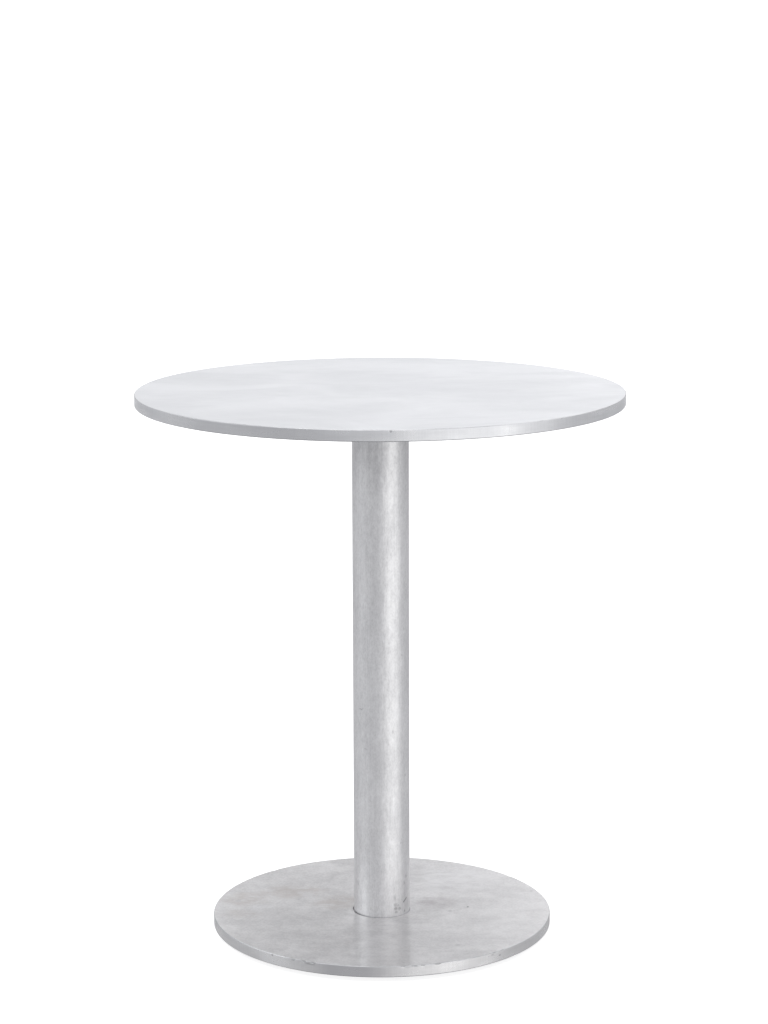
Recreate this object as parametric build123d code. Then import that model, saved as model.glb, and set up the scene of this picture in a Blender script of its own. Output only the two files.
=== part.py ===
from build123d import *
import os

# Round pedestal table of thick aluminium plate on a tube column. A tie rod down the column clamps the
# top flange, the tube and the base plate together, and four levelling feet carry the base.
# Millimetres, +Z up. The origin is on the floor, on the axis of the column.

# The whole table
TABLE_HEIGHT = 740.0
TOP_DIAMETER = 650.0
BASE_DIAMETER = 460.0
PLATE_THICKNESS = 15.0
PLATE_CHAMFER = 0.8
FLOOR_GAP = 7.0
EDGE_CHAMFER = 0.5
THREAD_GAP = 0.05  # on the radius, between a plain shank and the hole tapped for it

# Column tube, and the register at each end of it
TUBE_RADIUS = 38.0
TUBE_WALL = 3.0
SPIGOT_GAP = 0.1
GROOVE_GAP = 1.0
GROOVE_SHIFT = -0.5  # along X: the groove's outer wall is cut a little off the column's axis
GROOVE_DEPTH = 4.0

# Top flange
FLANGE_RADIUS = 110.0
FLANGE_THICKNESS = 8.0
SPIGOT_HEIGHT = 6.0

# M6 button-head screws that hold the flange to the top
SCREW_COUNT = 6
SCREW_CIRCLE_RADIUS = 95.0
SCREW_RADIUS = 3.0
SCREW_LENGTH = 20.0
SCREW_TAPPED_DEPTH = 11.0
SCREW_CLEARANCE_RADIUS = 3.3
HEAD_RADIUS = 5.25
HEAD_HEIGHT = 3.3
HEAD_LAND = 0.8
CROWN_RADIUS = HEAD_RADIUS - (HEAD_HEIGHT - HEAD_LAND)  # where the dome's quarter round ends
SOCKET_ACROSS_FLATS = 4.0
SOCKET_DEPTH = 2.1
SCREW_WASHER_RADIUS = 6.0
SCREW_WASHER_BORE_RADIUS = 3.2
SCREW_WASHER_THICKNESS = 1.6

# M12 tie rod with a thin nut and a washer at each end, each in its own recess
ROD_RADIUS = 6.0
ROD_HOLE_RADIUS = 6.5
ROD_PAST_NUT = 0.9
NUT_ACROSS_FLATS = 18.0
NUT_HEIGHT = 6.0
ROD_WASHER_RADIUS = 12.0
ROD_WASHER_THICKNESS = 2.5
NUT_RECESS_RADIUS = 15.0
NUT_RECESS_DEPTH = 10.0

# Plastic cover of the lower nut
COVER_RADIUS = 17.0
COVER_THICKNESS = 1.2
COVER_ROUNDING = 0.6
COVER_SKIRT_GAP = 0.05
COVER_SKIRT_WALL = 1.5
COVER_SKIRT_HEIGHT = 4.0

# Levelling feet: an M8 stud with a hexagon collar, whose clip head turns in a nylon pad
FOOT_COUNT = 4
FOOT_FIRST_ANGLE = 45.0
FOOT_CIRCLE_RADIUS = 190.0
STUD_RADIUS = 4.0
STUD_REACH = 10.0
STUD_TAPPED_DEPTH = 12.0
COLLAR_ACROSS_FLATS = 13.0
COLLAR_THICKNESS = 2.0
COLLAR_GAP = 0.2
NECK_LENGTH = 1.3
CLIP_RADIUS = 5.6
CLIP_THICKNESS = 1.4
CLIP_GAP = 0.1
PAD_RADIUS = 15.0
PAD_SHOULDER_RADIUS = 10.5
PAD_SIDE_TOP = 2.2
PAD_FLOOR_CHAMFER = 0.4
SOLE_RADIUS = 12.5
SOLE_GAP = 0.1
SOLE_THICKNESS = 1.2
SOLE_PROUD = 0.5

# Levels above the floor
BASE_LOW = FLOOR_GAP
BASE_HIGH = BASE_LOW + PLATE_THICKNESS
GROOVE_FLOOR = BASE_HIGH - GROOVE_DEPTH
TOP_LOW = TABLE_HEIGHT - PLATE_THICKNESS
FLANGE_LOW = TOP_LOW - FLANGE_THICKNESS
SPIGOT_LOW = FLANGE_LOW - SPIGOT_HEIGHT
HEAD_SEAT = FLANGE_LOW - SCREW_WASHER_THICKNESS
LOWER_SEAT = BASE_LOW + NUT_RECESS_DEPTH
LOWER_NUT_HIGH = LOWER_SEAT - ROD_WASHER_THICKNESS
LOWER_NUT_LOW = LOWER_NUT_HIGH - NUT_HEIGHT
UPPER_SEAT = TOP_LOW - NUT_RECESS_DEPTH
UPPER_NUT_LOW = UPPER_SEAT + ROD_WASHER_THICKNESS
UPPER_NUT_HIGH = UPPER_NUT_LOW + NUT_HEIGHT
COLLAR_HIGH = BASE_LOW - COLLAR_GAP
COLLAR_LOW = COLLAR_HIGH - COLLAR_THICKNESS
CLIP_HIGH = COLLAR_LOW - NECK_LENGTH
CLIP_LOW = CLIP_HIGH - CLIP_THICKNESS
PAD_HIGH = COLLAR_LOW - CLIP_GAP

TUBE_BORE_RADIUS = TUBE_RADIUS - TUBE_WALL
REGISTER_RADIUS = TUBE_BORE_RADIUS - SPIGOT_GAP


def turned(*outline):
    """A solid turned about Z, from its half outline as (radius, height) corners."""
    profile = make_face(Plane.XZ * Polyline(*outline, close=True))
    return revolve(profile, Axis.Z)


def rod(radius, low, high):
    """An upright cylinder on the Z axis between two heights."""
    return turned((0, low), (radius, low), (radius, high), (0, high))


def ring(inner, outer, low, high):
    """An upright ring on the Z axis between two heights."""
    return turned((inner, low), (outer, low), (outer, high), (inner, high))


def hexagon(across_flats, low, high):
    """An upright hexagonal bar on the Z axis between two heights."""
    section = RegularPolygon(across_flats / 2, 6, major_radius=False)
    return Pos(0, 0, low) * extrude(section, high - low)


def round_plate(radius, low, high):
    """A round plate with both of its edges broken by a small chamfer."""
    face_radius = radius - PLATE_CHAMFER
    return turned(
        (0, low),
        (face_radius, low),
        (radius, low + PLATE_CHAMFER),
        (radius, high - PLATE_CHAMFER),
        (face_radius, high),
        (0, high),
    )


def places(circle_radius, count, first_angle=0.0):
    """Evenly spaced places on a circle about Z."""
    step = 360.0 / count
    return [Rot(0, 0, first_angle + step * i) * Pos(circle_radius, 0, 0) for i in range(count)]


SCREW_PLACES = places(SCREW_CIRCLE_RADIUS, SCREW_COUNT)
FOOT_PLACES = places(FOOT_CIRCLE_RADIUS, FOOT_COUNT, FOOT_FIRST_ANGLE)


def table_top():
    """Round top with blind tapped holes in its underside for the flange's screws."""
    tapped = rod(SCREW_RADIUS + THREAD_GAP, TOP_LOW, TOP_LOW + SCREW_TAPPED_DEPTH)
    plate = round_plate(TOP_DIAMETER / 2, TOP_LOW, TABLE_HEIGHT)
    return plate - [place * tapped for place in SCREW_PLACES]


def top_flange():
    """Flange with a spigot for the tube's bore below, and a recess for the upper nut above."""
    body = turned(
        (ROD_HOLE_RADIUS, SPIGOT_LOW),
        (REGISTER_RADIUS - EDGE_CHAMFER, SPIGOT_LOW),
        (REGISTER_RADIUS, SPIGOT_LOW + EDGE_CHAMFER),
        (REGISTER_RADIUS, FLANGE_LOW),
        (FLANGE_RADIUS - EDGE_CHAMFER, FLANGE_LOW),
        (FLANGE_RADIUS, FLANGE_LOW + EDGE_CHAMFER),
        (FLANGE_RADIUS, TOP_LOW),
        (NUT_RECESS_RADIUS, TOP_LOW),
        (NUT_RECESS_RADIUS, UPPER_SEAT),
        (ROD_HOLE_RADIUS, UPPER_SEAT),
    )
    clearance = rod(SCREW_CLEARANCE_RADIUS, FLANGE_LOW, TOP_LOW)
    return body - [place * clearance for place in SCREW_PLACES]


def column_tube():
    """Tube from the floor of the base plate's groove to the underside of the flange."""
    return turned(
        (TUBE_BORE_RADIUS, GROOVE_FLOOR),
        (TUBE_RADIUS - EDGE_CHAMFER, GROOVE_FLOOR),
        (TUBE_RADIUS, GROOVE_FLOOR + EDGE_CHAMFER),
        (TUBE_RADIUS, FLANGE_LOW - EDGE_CHAMFER),
        (TUBE_RADIUS - EDGE_CHAMFER, FLANGE_LOW),
        (TUBE_BORE_RADIUS, FLANGE_LOW),
    )


def base_plate():
    """Base with a groove for the tube above, and the nut's counterbore and the feet's holes below."""
    plate = round_plate(BASE_DIAMETER / 2, BASE_LOW, BASE_HIGH)
    socket = Pos(GROOVE_SHIFT, 0, 0) * rod(TUBE_RADIUS + GROOVE_GAP, GROOVE_FLOOR, BASE_HIGH)
    plate -= socket - rod(REGISTER_RADIUS, GROOVE_FLOOR, BASE_HIGH)
    plate -= rod(NUT_RECESS_RADIUS, BASE_LOW, LOWER_SEAT)
    plate -= rod(ROD_HOLE_RADIUS, LOWER_SEAT, BASE_HIGH)
    tapped = rod(STUD_RADIUS + THREAD_GAP, BASE_LOW, BASE_LOW + STUD_TAPPED_DEPTH)
    return plate - [place * tapped for place in FOOT_PLACES]


def flange_screw():
    """M6 button-head screw: seat of the domed head at height 0, shank up, hexagon socket below."""
    rim = (HEAD_RADIUS, -HEAD_LAND)
    crown = (CROWN_RADIUS, -HEAD_HEIGHT)
    straight = Polyline(
        crown,
        (0, -HEAD_HEIGHT),
        (0, SCREW_LENGTH),
        (SCREW_RADIUS - EDGE_CHAMFER, SCREW_LENGTH),
        (SCREW_RADIUS, SCREW_LENGTH - EDGE_CHAMFER),
        (SCREW_RADIUS, 0),
        (HEAD_RADIUS, 0),
        rim,
    )
    dome = TangentArc(rim, crown, tangent=(0, -1))
    body = revolve(make_face(Plane.XZ * (straight + dome)), Axis.Z)
    return body - hexagon(SOCKET_ACROSS_FLATS, -HEAD_HEIGHT, SOCKET_DEPTH - HEAD_HEIGHT)


def nut(low):
    """Thin M12 nut with its lower face at the given height."""
    high = low + NUT_HEIGHT
    return hexagon(NUT_ACROSS_FLATS, low, high) - rod(ROD_RADIUS + THREAD_GAP, low, high)


def rod_washer(low):
    """M12 washer with its lower face at the given height."""
    return ring(ROD_HOLE_RADIUS, ROD_WASHER_RADIUS, low, low + ROD_WASHER_THICKNESS)


def tie_rod():
    """M12 rod that ends a little past each nut."""
    low = LOWER_NUT_LOW - ROD_PAST_NUT
    high = UPPER_NUT_HIGH + ROD_PAST_NUT
    return turned(
        (0, low),
        (ROD_RADIUS - EDGE_CHAMFER, low),
        (ROD_RADIUS, low + EDGE_CHAMFER),
        (ROD_RADIUS, high - EDGE_CHAMFER),
        (ROD_RADIUS - EDGE_CHAMFER, high),
        (0, high),
    )


def nut_cover():
    """Plastic cover: a disc under the base plate, with a skirt that grips the counterbore's wall."""
    low = BASE_LOW - COVER_THICKNESS
    disc = rod(COVER_RADIUS, low, BASE_LOW)
    disc = fillet(disc.edges().group_by(Axis.Z)[0], COVER_ROUNDING)
    skirt_radius = NUT_RECESS_RADIUS - COVER_SKIRT_GAP
    return disc + ring(skirt_radius - COVER_SKIRT_WALL, skirt_radius, BASE_LOW, BASE_LOW + COVER_SKIRT_HEIGHT)


def foot_stud():
    """M8 stud with its hexagon collar, and the clip head that turns in the pad."""
    tip = BASE_LOW + STUD_REACH
    shank = turned(
        (0, CLIP_LOW),
        (CLIP_RADIUS, CLIP_LOW),
        (CLIP_RADIUS, CLIP_HIGH),
        (STUD_RADIUS, CLIP_HIGH),
        (STUD_RADIUS, tip - EDGE_CHAMFER),
        (STUD_RADIUS - EDGE_CHAMFER, tip),
        (0, tip),
    )
    return shank + hexagon(COLLAR_ACROSS_FLATS, COLLAR_LOW, COLLAR_HIGH)


def foot_pad():
    """Nylon pad with the clip head's pocket above its floor, and the sole's recess in its underside."""
    recess_radius = SOLE_RADIUS + SOLE_GAP
    body = turned(
        (0, SOLE_THICKNESS),
        (recess_radius, SOLE_THICKNESS),
        (recess_radius, SOLE_PROUD),
        (PAD_RADIUS - PAD_FLOOR_CHAMFER, SOLE_PROUD),
        (PAD_RADIUS, SOLE_PROUD + PAD_FLOOR_CHAMFER),
        (PAD_RADIUS, PAD_SIDE_TOP),
        (PAD_SHOULDER_RADIUS, PAD_HIGH),
        (0, PAD_HIGH),
    )
    body -= rod(CLIP_RADIUS + CLIP_GAP, CLIP_LOW - CLIP_GAP, CLIP_HIGH + CLIP_GAP)
    return body - rod(STUD_RADIUS + THREAD_GAP, CLIP_HIGH, PAD_HIGH)


def group(piece, at):
    """Copies of one piece at several places, kept as separate solids."""
    return Compound(children=[place * piece for place in at])


def assembly():
    """Every node's shape where it stands."""
    screw = Pos(0, 0, HEAD_SEAT) * flange_screw()
    screw_washer = ring(SCREW_WASHER_BORE_RADIUS, SCREW_WASHER_RADIUS, HEAD_SEAT, FLANGE_LOW)
    nodes = {
        "table_top": table_top(),
        "top_flange": top_flange(),
        "flange_screws": group(screw, SCREW_PLACES),
        "flange_washers": group(screw_washer, SCREW_PLACES),
        "column_tube": column_tube(),
        "tie_rod": tie_rod(),
        "upper_washer": rod_washer(UPPER_SEAT),
        "upper_nut": nut(UPPER_NUT_LOW),
        "lower_washer": rod_washer(LOWER_NUT_HIGH),
        "lower_nut": nut(LOWER_NUT_LOW),
        "nut_cover": nut_cover(),
        "base_plate": base_plate(),
    }
    foot = {
        "foot_stud": foot_stud(),
        "foot_pad": foot_pad(),
        "foot_sole": rod(SOLE_RADIUS, 0, SOLE_THICKNESS),
    }
    for number, place in enumerate(FOOT_PLACES, 1):
        for name, shape in foot.items():
            nodes[f"{name}_{number}"] = place * shape
    return nodes


os.makedirs("parts", exist_ok=True)
for name, shape in assembly().items():
    export_step(shape, f"parts/{name}.step")
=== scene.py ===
import math

import bmesh
import bpy
from mathutils import Matrix, Vector, noise


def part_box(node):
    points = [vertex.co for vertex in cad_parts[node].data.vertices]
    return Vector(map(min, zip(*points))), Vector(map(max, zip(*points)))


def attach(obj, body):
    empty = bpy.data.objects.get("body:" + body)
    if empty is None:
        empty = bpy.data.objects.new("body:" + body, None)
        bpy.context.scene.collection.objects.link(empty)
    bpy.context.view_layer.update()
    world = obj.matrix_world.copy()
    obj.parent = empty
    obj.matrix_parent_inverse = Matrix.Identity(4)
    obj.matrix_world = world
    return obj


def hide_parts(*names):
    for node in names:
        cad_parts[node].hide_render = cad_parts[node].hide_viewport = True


# The looks of a round pedestal table in bare aluminium. Metres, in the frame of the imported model.

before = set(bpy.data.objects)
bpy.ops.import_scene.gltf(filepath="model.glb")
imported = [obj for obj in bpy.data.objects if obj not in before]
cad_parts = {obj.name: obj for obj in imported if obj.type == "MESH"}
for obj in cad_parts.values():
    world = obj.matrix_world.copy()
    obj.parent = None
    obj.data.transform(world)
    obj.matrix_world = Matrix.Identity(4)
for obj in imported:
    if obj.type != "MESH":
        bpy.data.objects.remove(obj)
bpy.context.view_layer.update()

MM = 0.001


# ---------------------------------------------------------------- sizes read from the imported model


def radius_of(node):
    """Half the width of a round node."""
    low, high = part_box(node)
    return (high.y - low.y) / 2


def levels_of(node):
    """The lowest and highest level of a node."""
    low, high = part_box(node)
    return low.z, high.z


def middle_of(node):
    """The (x, y) place of an upright node's axis."""
    low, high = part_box(node)
    return (low.x + high.x) / 2, (low.y + high.y) / 2


TOP_RADIUS = radius_of("table_top")
TOP_LOW, TOP_HIGH = levels_of("table_top")
BASE_RADIUS = radius_of("base_plate")
BASE_LOW, BASE_HIGH = levels_of("base_plate")
TUBE_RADIUS = radius_of("column_tube")
TUBE_LOW, TUBE_HIGH = levels_of("column_tube")
FLANGE_RADIUS = radius_of("top_flange")
SPIGOT_LOW, FLANGE_HIGH = levels_of("top_flange")
COVER_RADIUS = radius_of("nut_cover")
COVER_LOW, COVER_HIGH = levels_of("nut_cover")
ROD_RADIUS = radius_of("tie_rod")
ROD_LOW, ROD_HIGH = levels_of("tie_rod")
FEET = (1, 2, 3, 4)

# Details that a box doesn't give: the plates
PLATE_CHAMFER = 0.8 * MM
PLATE_ROUNDING = 0.3 * MM
EDGE_CHAMFER = 0.5 * MM
EDGE_ROUNDING = 0.25 * MM
GROOVE_ROUNDING = 0.9 * MM
GROOVE_GAP = 1.0 * MM
GROOVE_SHIFT = (-0.8 * MM, 0.35 * MM, 0.0)
NUT_RECESS_RADIUS = 15.0 * MM
NUT_RECESS_DEPTH = 10.0 * MM
RECESS_FLOOR = BASE_LOW + NUT_RECESS_DEPTH
ROD_HOLE_RADIUS = 6.5 * MM
TAPPED_TOP_RADIUS = 3.05 * MM
TAPPED_TOP_DEPTH = 11.0 * MM
TAPPED_BASE_RADIUS = 4.05 * MM
TAPPED_BASE_DEPTH = 12.0 * MM

# The column, the flange and the nut's cover
TUBE_WALL = 3.0 * MM
SPIGOT_GAP = 0.1 * MM
SPIGOT_RADIUS = TUBE_RADIUS - TUBE_WALL - SPIGOT_GAP
SPIGOT_HEIGHT = 6.0 * MM
GROOVE_WALL = TUBE_RADIUS + GROOVE_GAP
SCREW_CIRCLE_RADIUS = 95.0 * MM
SCREW_COUNT = 6
SCREW_HOLE_RADIUS = 3.3 * MM
COVER_SKIRT_RADIUS = 14.95 * MM
COVER_SKIRT_WALL = 1.5 * MM
COVER_ROUNDING = 0.5 * MM

# The feet
STUD_RADIUS = 4.0 * MM
CLIP_RADIUS = 5.6 * MM
CLIP_THICKNESS = 1.4 * MM
CLIP_GAP = 0.1 * MM
NECK_LENGTH = 1.3 * MM
COLLAR_ACROSS_FLATS = 13.0 * MM
COLLAR_THICKNESS = 2.0 * MM
PAD_SHOULDER_RADIUS = 10.5 * MM
PAD_SIDE_TOP = 2.2 * MM
PAD_ROUNDING = 0.4 * MM
SOLE_GAP = 0.1 * MM
STUD_GAP = 0.05 * MM
STUD_OVERLAP = 0.2 * MM  # how far its thread and its neck reach into its collar

# Thread pitches, and how much of the tie rod is threaded at each end
STUD_PITCH = 1.25 * MM
ROD_PITCH = 1.75 * MM
ROD_THREAD_LENGTH = 40.0 * MM
ROD_OVERLAP = 1.0 * MM  # how far its plain shank reaches into each thread

# How finely the meshes are cut
TOP_STEPS = 1440
BASE_STEPS = 960
TUBE_STEPS = 256
FLANGE_STEPS = 512
SMALL_STEPS = 96
THREAD_STEPS = 48
HOLE_STEPS = 48
SHARP_ANGLE = math.radians(35.0)
SAME_POINT = 0.0005 * MM
SEAM = 1.0 * MM  # what parts the two ends of a closed outline, on a flat stretch
PAST = 1.0 * MM  # how far a hole's cutter stands out of the surface that it cuts

# The (x, y) place of the table's own axis
AXIS = (0.0, 0.0)


# ---------------------------------------------------------------- node trees


class Nodes:
    """A node tree with short calls. Any input may be a number, a colour or another node's output."""

    def __init__(self, tree):
        self.tree = tree
        tree.nodes.clear()

    def feed(self, socket, value):
        if isinstance(value, bpy.types.NodeSocket):
            self.tree.links.new(value, socket)
        elif value is not None:
            socket.default_value = value

    def add(self, kind, settings=None, **inputs):
        node = self.tree.nodes.new(kind)
        for name, value in (settings or {}).items():
            setattr(node, name, value)
        for name, value in inputs.items():
            self.feed(node.inputs[name.replace("_", " ")], value)
        return node

    def position(self):
        return self.add("ShaderNodeTexCoord").outputs["Object"]

    def maths(self, operation, first, second=None, third=None, clamp=False):
        node = self.add("ShaderNodeMath", {"operation": operation, "use_clamp": clamp})
        for socket, value in zip(node.inputs, (first, second, third)):
            self.feed(socket, value)
        return node.outputs[0]

    def vector(self, operation, first, second=None, scale=None):
        node = self.add("ShaderNodeVectorMath", {"operation": operation})
        self.feed(node.inputs[0], first)
        self.feed(node.inputs[1], second)
        self.feed(node.inputs[3], scale)
        return next(output for output in node.outputs if output.enabled)

    def noise(self, place, stretch, detail=2.0, roughness=0.5, distortion=0.0):
        """Noise from about 0.2 to 0.8, with stretch features to the metre along X, Y and Z."""
        node = self.add("ShaderNodeTexNoise", Scale=1.0, Detail=detail, Roughness=roughness)
        self.feed(node.inputs["Vector"], self.vector("MULTIPLY", place, stretch))
        self.feed(node.inputs["Distortion"], distortion)
        return node.outputs["Fac"]

    def remap(self, value, low, high, to_low=0.0, to_high=1.0):
        """A smooth step from one value to another as the input goes from low to high."""
        node = self.add("ShaderNodeMapRange", {"interpolation_type": "SMOOTHSTEP"})
        for socket, number in zip(node.inputs, (value, low, high, to_low, to_high)):
            self.feed(socket, number)
        return node.outputs[0]

    def layers(self, *parts):
        """The sum of (value, weight) pairs, each value taken about its middle, 0.5."""
        total = 0.0
        for value, weight in parts:
            total = self.maths("MULTIPLY_ADD", self.maths("SUBTRACT", value, 0.5), weight, total)
        return total

    def blend(self, factor, first, second):
        node = self.add("ShaderNodeMix", {"data_type": "RGBA"})
        sockets = [socket for socket in node.inputs if socket.enabled]
        for socket, value in zip(sockets, (factor, first, second)):
            self.feed(socket, value)
        return next(output for output in node.outputs if output.enabled)

    def mix_shaders(self, factor, first, second):
        node = self.add("ShaderNodeMixShader")
        for socket, value in zip(node.inputs, (factor, first, second)):
            self.feed(socket, value)
        return node.outputs[0]

    def shade(self, colour, *parts):
        """A colour made lighter and darker by the sum of (value, weight) pairs."""
        return self.vector("SCALE", colour, scale=self.maths("ADD", self.layers(*parts), 1.0))


# ---------------------------------------------------------------- camera, stage and light

CAMERA_DISTANCE = 3.7203
CAMERA_HEIGHT = 1.2921
CAMERA_TILT = 0.19012
CAMERA_YAW = 0.00122
CAMERA_ROLL = -0.00313
CAMERA_LENS = 99.748
SENSOR_LONG_SIDE = 36.0
CAMERA_NEAR = 0.05

FLOOR_SIZE = 400.0
FLOOR_ALBEDO = 0.60
FLOOR_GLOW = 0.76

# The studio round the table. A panel is an azimuth from the camera's side towards its right, an elevation,
# the angles at which it is still full and has faded to nothing, all in degrees, a strength and a tint. The
# last one darkens what looks straight down.
STUDIO_FILL = (0.552, 0.553, 0.566)
STUDIO_PANELS = (
    (180, 10, 8, 33, 0.43, (0.98, 0.99, 1.02)),
    (0, 90, 15, 50, 1.09, (0.99, 1.0, 1.01)),
    (50, 9, 5, 49, 0.35, (1.0, 0.995, 0.975)),
    (42, -10, 3, 50, 0.24, (1.0, 0.99, 0.97)),
    (-84, 35, 8, 38, 0.74, (0.96, 0.99, 1.0)),
    (-84, -4, 8, 38, 0.05, (0.95, 1.0, 1.0)),
    (0, 35, 8, 38, 0.21, (0.99, 0.99, 1.01)),
    (0, -90, 20, 65, -0.32, (1.0, 1.0, 1.0)),
)

# A white card behind the table on its right, out of the camera's sight
CARD_PLACE = (0.85, 1.20, 0.90)
CARD_AIM = (0.15, 0.0, 0.02)
CARD_WIDTH = 1.1
CARD_HEIGHT = 0.5
CARD_POWER = 0.5


def make_camera():
    data = bpy.data.cameras.new("camera")
    data.sensor_fit = "AUTO"
    data.sensor_width = SENSOR_LONG_SIDE
    data.lens = CAMERA_LENS
    data.clip_start = CAMERA_NEAR
    data.clip_end = FLOOR_SIZE
    camera = bpy.data.objects.new("camera", data)
    bpy.context.scene.collection.objects.link(camera)
    level = Matrix.Rotation(math.pi / 2 - CAMERA_TILT, 4, "X")
    turned = Matrix.Rotation(-CAMERA_YAW, 4, "Z") @ level @ Matrix.Rotation(CAMERA_ROLL, 4, "Z")
    camera.matrix_world = Matrix.Translation((0, -CAMERA_DISTANCE, CAMERA_HEIGHT)) @ turned
    bpy.context.scene.camera = camera


def direction(azimuth, elevation):
    """A unit vector towards a part of the studio."""
    turn, lift = math.radians(azimuth), math.radians(elevation)
    return Vector((math.sin(turn) * math.cos(lift), -math.cos(turn) * math.cos(lift), math.sin(lift)))


def make_studio():
    """A pale room: an even fill with soft bright panels, and plain white where the camera sees it."""
    world = bpy.data.worlds.new("studio")
    bpy.context.scene.world = world
    world.use_nodes = True
    nodes = Nodes(world.node_tree)
    look = nodes.vector("NORMALIZE", nodes.add("ShaderNodeTexCoord").outputs["Generated"])
    red, green, blue = STUDIO_FILL
    light = nodes.add("ShaderNodeCombineXYZ", X=red, Y=green, Z=blue).outputs[0]
    for azimuth, elevation, core, edge, strength, tint in STUDIO_PANELS:
        facing = nodes.vector("DOT_PRODUCT", look, direction(azimuth, elevation))
        full, faded = math.cos(math.radians(core)), math.cos(math.radians(edge))
        glow = nodes.remap(facing, faded, full, 0.0, strength)
        light = nodes.vector("ADD", light, nodes.vector("SCALE", tint, scale=glow))
    lit = nodes.add("ShaderNodeBackground", Color=light, Strength=1.0)
    seen = nodes.add("ShaderNodeBackground", Color=(1.0, 1.0, 1.0, 1.0), Strength=1.0)
    camera_ray = nodes.add("ShaderNodeLightPath").outputs["Is Camera Ray"]
    mixed = nodes.mix_shaders(camera_ray, lit.outputs[0], seen.outputs[0])
    nodes.add("ShaderNodeOutputWorld", Surface=mixed)


def make_card():
    data = bpy.data.lights.new("white_card", "AREA")
    data.shape = "RECTANGLE"
    data.size = CARD_WIDTH
    data.size_y = CARD_HEIGHT
    data.energy = CARD_POWER
    card = bpy.data.objects.new("white_card", data)
    bpy.context.scene.collection.objects.link(card)
    card.location = CARD_PLACE
    card.rotation_euler = (Vector(CARD_AIM) - Vector(CARD_PLACE)).to_track_quat("-Z", "Y").to_euler()
    card.visible_camera = False


def make_floor():
    """A plain pale floor, seen from above only, so that the table's underside can be looked at too."""
    mesh = bpy.data.meshes.new("floor")
    half = FLOOR_SIZE / 2
    corners = [(-half, -half, 0), (half, -half, 0), (half, half, 0), (-half, half, 0)]
    mesh.from_pydata(corners, [], [(0, 1, 2, 3)])
    floor = bpy.data.objects.new("floor", mesh)
    bpy.context.scene.collection.objects.link(floor)
    material = bpy.data.materials.new("floor")
    material.use_nodes = True
    nodes = Nodes(material.node_tree)
    matt = nodes.add("ShaderNodeBsdfDiffuse", Color=(FLOOR_ALBEDO, FLOOR_ALBEDO, FLOOR_ALBEDO, 1.0))
    glow = nodes.add("ShaderNodeEmission", Color=(1.0, 1.0, 1.0, 1.0), Strength=FLOOR_GLOW)
    pale = nodes.add("ShaderNodeAddShader")
    nodes.feed(pale.inputs[0], matt.outputs[0])
    nodes.feed(pale.inputs[1], glow.outputs[0])
    clear = nodes.add("ShaderNodeBsdfTransparent")
    below = nodes.add("ShaderNodeNewGeometry").outputs["Backfacing"]
    mixed = nodes.mix_shaders(below, pale.outputs[0], clear.outputs[0])
    nodes.add("ShaderNodeOutputMaterial", Surface=mixed)
    mesh.materials.append(material)
    floor.visible_glossy = False


# ---------------------------------------------------------------- marks and wear

GRIME = (0.26, 0.26, 0.27, 1.0)
WARM_FILM = (0.585, 0.553, 0.535, 1.0)
PINK_FILM = (0.560, 0.537, 0.545, 1.0)
COOL_FILM = (0.760, 0.765, 0.785, 1.0)
PALE_FILM = (0.880, 0.875, 0.880, 1.0)

# Marks on the column: angle from +X in degrees, then millimetres: height, half-width round it, half-height;
# and last the strength
TUBE_MARKS = (
    (-136, 311.5, 5.0, 0.9, 0.42),
    (-131, 313.2, 1.4, 0.9, 0.40),
    (-124, 257.6, 2.6, 0.8, 0.38),
    (-66, 282.0, 1.1, 4.2, 0.36),
    (-78, 340.7, 1.3, 1.2, 0.26),
    (-43, 386.0, 1.3, 2.0, 0.22),
    (-36, 421.0, 1.6, 2.2, 0.26),
    (-33, 218.0, 1.8, 3.0, 0.26),
    (-47, 124.5, 1.5, 1.6, 0.24),
    (-30, 74.8, 2.0, 3.2, 0.34),
    (-149, 66.0, 2.6, 3.6, 0.22),
    (-78, 42.6, 5.5, 0.5, 0.16),
    (-60, 33.0, 3.2, 3.0, 0.46),
    (-51, 32.0, 3.0, 3.2, 0.46),
    (-61, 38.0, 2.6, 4.0, 0.36),
    (-59, 28.0, 2.6, 2.4, 0.40),
    (-54, 37.0, 2.2, 2.2, 0.32),
    (-36, 26.5, 2.2, 2.2, 0.40),
    (-62, 48.0, 2.0, 5.0, 0.24),
    (-37, 66.0, 2.0, 3.4, 0.30),
)
TUBE_SCRATCH = ((-39, 39.8 * MM), (-29, 43.8 * MM))
TUBE_SCRATCH_WIDTH = 1.7 * MM
TUBE_SCRATCH_STRENGTH = 0.65

# How far below its head the column is darkened by painted shade from the top above it, and by how much at
# the head itself
TUBE_SHADE_LENGTH = 150.0 * MM
TUBE_HEAD_SHADE = 0.17

# Marks on the base's upper face, in millimetres: x, y, half-length along X, half-width along Y; and strength
BASE_MARKS = (
    (117.9, 6.4, 2.2, 3.0, 0.75),
    (93.0, -11.0, 3.4, 4.0, 0.30),
    (-115.0, 42.0, 2.0, 3.0, 0.20),
    (-78.9, 41.6, 1.6, 2.6, 0.20),
    (208.4, 73.0, 3.0, 4.0, 0.22),
    (99.0, -148.5, 5.0, 5.0, 0.16),
    (-198.0, 36.0, 5.0, 7.0, 0.16),
)

# Thin films on the base's upper face, in millimetres: x, y, half-length, half-width; tint and strength
BASE_FILMS = (
    (-125.0, 74.0, 58.0, 30.0, WARM_FILM, 0.85),
    (-188.0, 44.0, 42.0, 32.0, WARM_FILM, 0.80),
    (-58.0, 28.0, 44.0, 34.0, WARM_FILM, 0.75),
    (-190.0, -18.0, 40.0, 20.0, WARM_FILM, 0.45),
    (74.0, 26.0, 34.0, 34.0, PINK_FILM, 0.70),
    (-166.0, 2.0, 20.0, 26.0, COOL_FILM, 0.40),
    (-103.0, 60.0, 10.0, 12.0, COOL_FILM, 0.55),
    (95.0, 125.0, 75.0, 60.0, PALE_FILM, 0.80),
)

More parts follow.
